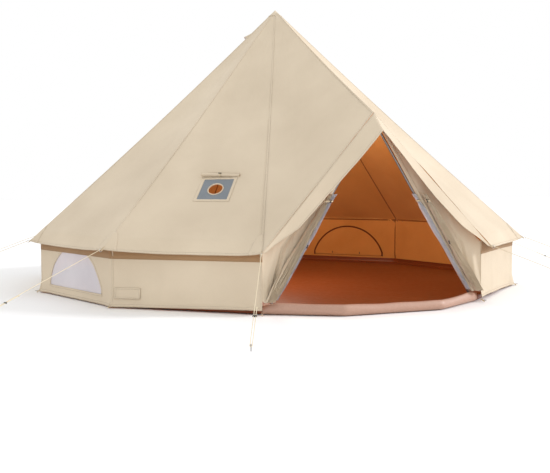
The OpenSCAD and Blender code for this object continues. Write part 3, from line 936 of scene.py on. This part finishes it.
def add_vents():
    """Hooded vents high on the roof: the mouth looks down the slope and has mesh across it."""
    low, long, half, high = 3.64, 0.15, 0.055, 0.044
    t = np.linspace(-1, 1, 21)
    bow = np.cos(t * np.pi / 2) ** 0.55
    back = np.linspace(0, 1, 10)[:, None]
    mouth = np.linspace(0, 1, 6)[:, None]
    hoods, screens = [], []
    for i in VENT_PANELS:
        rise = high * (1 - back) ** 1.3 * bow
        hoods.append(grid(gore_at(i, half * t * (1 - 0.35 * back), low + long * back, 0.003 + rise)))
        screens.append(grid(gore_at(i, half * 0.97 * t, low + 0.004, 0.002 + high * 0.94 * bow * mouth)))
    hood = piece("roof_vent_hoods", hoods, [canvas, canvas_inside_painted_glow], thick=0.0014, inner=1,
                 replaces=["roof_vents"], welded=False)
    screen = piece("roof_vent_mesh", screens, [mesh_cloth], welded=False)


def add_apex():
    turns = full_turn(97, closed=True)
    share = np.linspace(0, 1, 9)[:, None]
    r = (0.093 + 0.004 * np.cos((PANELS + 1) * turns)) * (1 - share) + 0.0015 * share
    z = APEX_Z - r * ROOF_SLOPE + 0.003 * np.exp(-r / 0.02) - 0.0045
    cap = piece("apex_cap", [grid(around(r, turns, z), stacked(turns * 0.05, r))],
                [canvas, canvas_inside_painted_glow], thick=0.0022, inner=1, replaces=["apex_cone"])
    hem_r = 0.082
    r = hem_r + np.array([0.006, 0.0, -0.006])[:, None]
    band = grid(around(r, turns, APEX_Z - r * ROOF_SLOPE - 0.0018), stacked(r - hem_r, turns * 0.085))
    piece("apex_cap_hem", [band], [canvas_seam], thick=TRIM_T)


add_walls()
add_wall_trims()
add_windows()
add_rolls()
add_stove_roll()
add_stove_patch()
add_cable_flap()
add_vents()
add_apex()


# ---------------------------------------------------------------- doorway
DOOR_FOOT_Y = WALL_R * math.cos(DOOR_ANGLE / 2) + 0.008
DOOR_LEAN = (DOOR_FOOT_Y + RIDGE_END[1] - 0.015) / (RIDGE_END[2] - 0.055)
POLE_BACK = 0.042           # the pole's front stands this far behind the doorway's plane at its foot
POLE_LEAN = 0.0194          # and comes this much nearer per metre up
SURROUND_HALF = 1.249
SURROUND_FOOT = 0.118
SURROUND_EAVE = 0.64
SURROUND_TOP = 1.86
SURROUND_TOP_HALF = 0.075


def on_door(x, z, out=0.0):
    """Points of the leaning plane of the doorway. Out is towards the front."""
    return stacked(x, -DOOR_FOOT_Y + (z - 0.01) * DOOR_LEAN - out, z)


def half_at(z):
    """Half the doorway's width at height z."""
    return DOOR_HALF * (1 - z / (RIDGE_END[2] - 0.06))


def on_side(part, side):
    """The part on the door's right for side 1, or on its left for side -1."""
    return part if side > 0 else mirrored(part)


def add_awning():
    t = np.linspace(0, 1, 60)[:, None]
    low = LINE_LOW[1] + [-0.004, 0, -0.004]
    tip_low = low + [-0.166, 0.010, 0.040]
    inner = (RIDGE_END + [0.0, -0.004, -0.004]) * (1 - t) + low * t
    outer = AWNING_TIP * (1 - t) + tip_low * t
    reach = 1.04 - 0.80 * eased((t - 0.80) / 0.20)

    def surface(shares, lift=0.0):
        """Points of the awning's right half, from 0 at the roof to 1 at its free edge."""
        part = inner[:, None] + (outer - inner)[:, None] * (shares * reach)[..., None]
        fold = 0.005 * ripple(t * 16, shares * 1.5, 81) + 0.012 * np.sin(3 * np.pi * t)
        part[..., 2] -= 0.027 * np.sin(np.pi * t) * shares
        part[..., 1] -= fold * eased(t / 0.04) * shares**2 + lift
        return part.transpose(1, 0, 2)[::-1]

    half = grid(surface(np.linspace(0, 1, 9)))
    awning = piece("awning_canvas", [half, mirrored(half)], [canvas, canvas_inside_painted_glow], thick=CLOTH_T,
                   inner=1, replaces=["door_awning"])
    uv = stacked(np.linspace(0.011, -0.011, 4)[:, None], t[:, 0] * 1.9)
    hem = grid(surface(np.linspace(0.90, 1.0, 4), 0.0016), uv)
    sewn("awning_hem", [hem, mirrored(hem)])


def add_surround():
    """Canvas between the doorway and the wall corners, gathered in upright folds."""
    below = np.linspace(SURROUND_FOOT, SURROUND_EAVE, 16)
    z = np.concatenate([below, np.linspace(SURROUND_EAVE, SURROUND_TOP, 26)[1:]])[:, None]
    s = np.linspace(0, 1, 40)
    edge = half_at(z) + 0.006
    up = np.clip((z - SURROUND_EAVE) / (SURROUND_TOP - SURROUND_EAVE), 0, 1)
    far = np.maximum(SURROUND_HALF + (SURROUND_TOP_HALF - SURROUND_HALF) * up, edge + 0.01)
    x = edge + (far - edge) * s
    to_pole = (1 - eased(s / 0.12)) * (POLE_BACK - POLE_LEAN * z)
    to_wall = (eased((s - 0.75) / 0.25) * (1 - eased((z - 0.60) / 0.12)))[..., None]
    corner = wall_at(0, 0.006 - WALL_W / 2, np.minimum(z, SURROUND_EAVE), 0.0035)
    parts = []
    for side, seed in ((1, 91), (-1, 97)):
        wave = np.sin((x - edge * 0.3) * 58 + 2.0 * ripple(x / 0.2, z / 0.5, seed))
        fold = 0.010 * wave * np.exp(-z / 0.75) + 0.006 * ripple(x / 0.09, z / 0.35, seed + 3)
        deep_fold = np.exp(-(((s - 0.42 - 0.10 * z) / 0.05) ** 2)) * eased((0.95 - z) / 0.5)
        fold = (fold - 0.042 * deep_fold) * eased(s / 0.15) * (0.1 + 0.9 * eased((1 - s) / 0.2))
        points = on_door(x, z, fold - to_pole) * (1 - to_wall) + corner * to_wall
        parts.append(on_side(grid(points, stacked(x, z)), side))
    sheet = piece("door_side_canvas", parts, [canvas, canvas_inside_painted_glow], thick=CLOTH_T, inner=1,
                  replaces=["door_surround"])
    z = np.linspace(0.13, 1.82, 60)
    tape = strip(on_door(half_at(z) + 0.030, z, 0.0035), (1.0, 0, 0), 0.028, (0, -1.0, 0))
    sewn("door_zip_tape", [tape, mirrored(tape)])


def gathered(x_low, x_high, z_low, out, wide_low, wide_high, deep, pleats, seed, swell=0.0):
    """Cloth tied back along the right side of the door: pleats run up it, and its ties pull it in."""
    z = np.linspace(z_low, LEAF_TOP, 44)[:, None]
    t = (z - z_low) / (LEAF_TOP - z_low)
    s = np.linspace(0, 1, pleats * 8 + 1)
    swollen = swell * np.sin(np.pi * t) ** 1.5
    wide = wide_low + (wide_high - wide_low) * t + swollen
    pinch = 1 - 0.45 * np.exp(-(((t - 0.93) / 0.05) ** 2)) - 0.25 * np.exp(-((t / 0.10) ** 2))
    x = x_low + (x_high - x_low) * t + 0.5 * swollen + wide * pinch * (s - 0.5)
    x = x + 0.006 * ripple(s * 5, t * 5, seed + 5)
    wave = np.sin(2 * np.pi * (pleats * s + 0.35 * ripple(s * 3, t * 3, seed)))
    points = on_door(x, z, out + deep * (0.55 + 0.45 * pinch) * (1 - 0.35 * t) * wave)
    return grid(points, stacked(run_along(points, 1), z))


def tie_part(x, z, out, wide, deep):
    """A webbing tie round a bundle on the right of the door, at x and z."""
    phi = full_turn(41, closed=True)
    away = around(1, phi, 0)
    return strip(on_door(x, z, out) + away * [wide / 2, deep / 2, 0], -UP, 0.016, away)


LEAF_FOOT = 0.13
LEAF_TOP = 1.15
TIE_Z = 1.08
LEAF_OUT = 0.052            # the leaves' bundle stands this far in front of the doorway's plane
SCREEN_OUT = -0.012         # and the mesh's bundle this far behind it


def add_door_leaves():
    foot, top, tied = half_at(LEAF_FOOT), half_at(LEAF_TOP), half_at(TIE_Z)
    ties = [tie_part(tied + 0.063, TIE_Z, LEAF_OUT, 0.066, 0.052),
            tie_part(tied - 0.018, TIE_Z, SCREEN_OUT, 0.048, 0.034)]
    toggles = []
    for side, word, seed in ((1, "right", 101), (-1, "left", 111)):
        leaf = gathered(foot + 0.082, top + 0.062, LEAF_FOOT, LEAF_OUT, 0.125, 0.055, 0.030, 8, seed)
        obj = piece(f"door_leaf_{word}", [on_side(leaf, side)], [canvas], thick=0.0009,
                    replaces=[f"door_canvas_{word}"])
        screen = gathered(foot - 0.008, top - 0.020, 0.14, SCREEN_OUT, 0.054, 0.042, 0.017, 12, seed + 3,
                          swell=0.060)
        obj = piece(f"door_screen_{word}", [on_side(screen, side)], [mesh_cloth],
                    replaces=[f"door_mesh_{word}"])
        for x, z, out in ((tied + 0.03, TIE_Z, 0.086), (half_at(0.65) + 0.02, 0.65, 0.088)):
            toggles.append(toggle_part(on_door(side * x, z, out), (side * 0.5, 0, -1), 1.15))
    sewn("door_ties", [on_side(tie, side) for side in (1, -1) for tie in ties], webbing)
    piece("door_toggles", toggles, [black_plastic], welded=False)


add_awning()
add_surround()
add_door_leaves()


# ---------------------------------------------------------------- groundsheet
SILL_R = 3.13
SILL_TURN = math.radians(10)
RIM_H = 0.080
SILL_RIM_H = 0.110


def sheet_outline():
    """The groundsheet's edge, closed, and whether each point is on the sill of the doorway."""
    corner = [around(SHEET_R, t, 0.0)[:2] for t in corners]
    corner += [around(SILL_R, -math.pi / 2 + turn, 0.0)[:2] for turn in (-SILL_TURN, SILL_TURN)]
    edge, sill = [], []
    for k, start in enumerate(corner):
        end = corner[(k + 1) % len(corner)]
        for t in np.linspace(0, 1, 26 if k < PANELS else 30, endpoint=False):
            edge.append(start * (1 - t) + end * t)
            sill.append(k >= PANELS)
    return np.array(edge + edge[:1]), np.array(sill + sill[:1])


def add_groundsheet():
    """The floor and its rim, one sheet: flat inside, up the walls, and up across the doorway."""
    edge, sill = sheet_outline()
    share = np.concatenate([np.linspace(0.0, 0.9, 34), np.linspace(0.92, 0.988, 6)])
    flat = edge * share[:, None, None]
    x, y = np.moveaxis(flat, -1, 0)
    bumps = 0.0026 * (ripple(x / 0.5, y / 0.35, 121) + 1) + 0.0016 * (ripple(x / 0.13, y / 0.22, 127) + 1)
    calm = 1 - np.exp(-((np.hypot(x, y) / 0.12) ** 4))
    floor = stacked(x, y, 0.0042 + bumps * calm)

    arc = run_along(edge)
    high = np.where(sill, SILL_RIM_H, RIM_H)
    high = np.convolve(np.concatenate([high[-4:], high, high[:4]]), np.ones(9) / 9, "valid")
    out = edge / np.linalg.norm(edge, axis=1)[:, None]
    rim = []
    for t in (0.0, 0.12, 0.3, 0.5, 0.7, 0.86, 1.0):
        lean = np.where(sill, 0.016, 0.004) * np.sin(np.pi * t) + np.where(sill, -0.020, 0.0) * t**2
        lean = lean + 0.006 * t * ripple(arc / 0.28, t, 131) * np.where(sill, 1.0, 0.35)
        droop = np.where(sill, 0.010 * (ripple(arc / 0.45, 0.0, 137) - 0.4) * t, 0)
        x, y = (edge * (1 - 0.006 * (1 - eased(t / 0.2))) + out * lean[:, None]).T
        rim.append(stacked(x, y, 0.006 + (high - 0.006) * t + droop))
    rim_uv = stacked(arc, 3 + np.linspace(0, 0.1, len(rim))[:, None])
    mats = np.zeros((len(share) + len(rim) - 1, len(edge) - 1), int)
    mats[len(share):] = sill[:-1]
    part = grid(np.concatenate([floor, rim]), np.concatenate([flat, rim_uv]), mats)
    sheet = join("groundsheet_floor", [part], [pvc_floor, pvc_rim])
    weld(sheet, 1e-4)
    thicken(sheet, 0.0012, offset=1.0)
    placed(sheet, replaces=["groundsheet", "groundsheet_rim"])


# ---------------------------------------------------------------- webbing loops, kept CAD pieces
def loop_part(turn, r0, r1, z0, z1, width, gap):
    """A webbing loop from the canvas at radius r0 out round a ring or peg at r1."""
    bend = np.linspace(-np.pi / 2, np.pi / 2, 9)
    legs = np.linspace(0, 1, 8)
    r = np.concatenate([r0 + (r1 - r0) * legs, r1 + gap * np.cos(bend)[1:-1], r1 + (r0 - r1) * legs])
    aside = np.concatenate([-gap + 0 * legs, gap * np.sin(bend)[1:-1], gap + 0 * legs])
    z = z0 + (z1 - z0) * np.clip((r - r0) / (r1 - r0), 0, 1)
    radial, sideways = axes_at(turn)
    middle = r[:, None] * radial + aside[:, None] * sideways + z[:, None] * UP
    out = np.cross(UP, np.gradient(middle, axis=0))
    out /= np.linalg.norm(out, axis=1)[:, None]
    return strip(middle, UP, width, out, bulge=0.0003)


def add_loops():
    ring_in = RING_R - RING_D / 2 + 0.002
    parts = []
    for turn in corners:
        parts.append(loop_part(turn, EAVE_R - 0.06, ring_in, EAVE_Z + 0.045, RING_Z, 0.016, 0.0042))
        parts.append(loop_part(turn, WALL_R + 0.012, WALL_R + 0.050, 0.030, 0.012, 0.014, 0.0048))
    sewn("webbing_loops", parts, webbing, thick=PATCH_T)


add_groundsheet()
add_loops()

KEPT = {
    "centre_pole_lower": steel, "centre_pole_upper": steel, "door_pole_right": steel, "door_pole_left": steel,
    "centre_pole_foot": black_plastic, "centre_pole_cap": black_plastic, "door_pole_elbow": black_plastic,
    "corner_rings": ring_steel, "guy_pegs": peg_steel, "wall_pegs": peg_steel,
}
for name, material in KEPT.items():
    kept_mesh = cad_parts[name].data
    kept_mesh.materials.clear()
    kept_mesh.materials.append(material)


# ---------------------------------------------------------------- floor and light
def add_stage():
    mesh = bpy.data.meshes.new("studio_floor")
    half, z = 60, -0.001
    ways = ((-1, -1), (1, -1), (1, 1), (-1, 1))
    mesh.from_pydata([(half * x, half * y, z) for x, y in ways], [], [[0, 1, 2, 3]])
    mesh.materials.append(new_material("studio_floor", Roughness=0.9, Base_Color=rgb(0.93, 0.93, 0.93))[0])
    in_scene("studio_floor", mesh)


def add_light(name, kind, place, aim, energy, colour):
    data = bpy.data.lights.new(name, kind)
    data.energy = energy
    data.color = colour
    light = in_scene(name, data)
    light.location = place
    light.rotation_euler = (Vector(aim) - Vector(place)).to_track_quat("-Z", "Y").to_euler()
    return data


def add_world():
    world = bpy.data.worlds.new("studio")
    world.use_nodes = True
    background = world.node_tree.nodes["Background"]
    background.inputs["Color"].default_value = rgb(1.0, 1.0, 1.0)
    background.inputs["Strength"].default_value = 1.0
    bpy.context.scene.world = world
    bpy.context.scene.view_settings.view_transform = "Standard"


add_stage()
add_world()
add_light("key", "SUN", (10, -3.2, 6), (0, 0, 1), 1.75, (1.0, 0.98, 1.02)).angle = math.radians(10)
add_light("inside", "POINT", (-0.5, -0.5, 1.5), (0, 0, 1), 108, (1.0, 0.88, 0.74)).shadow_soft_size = 0.5
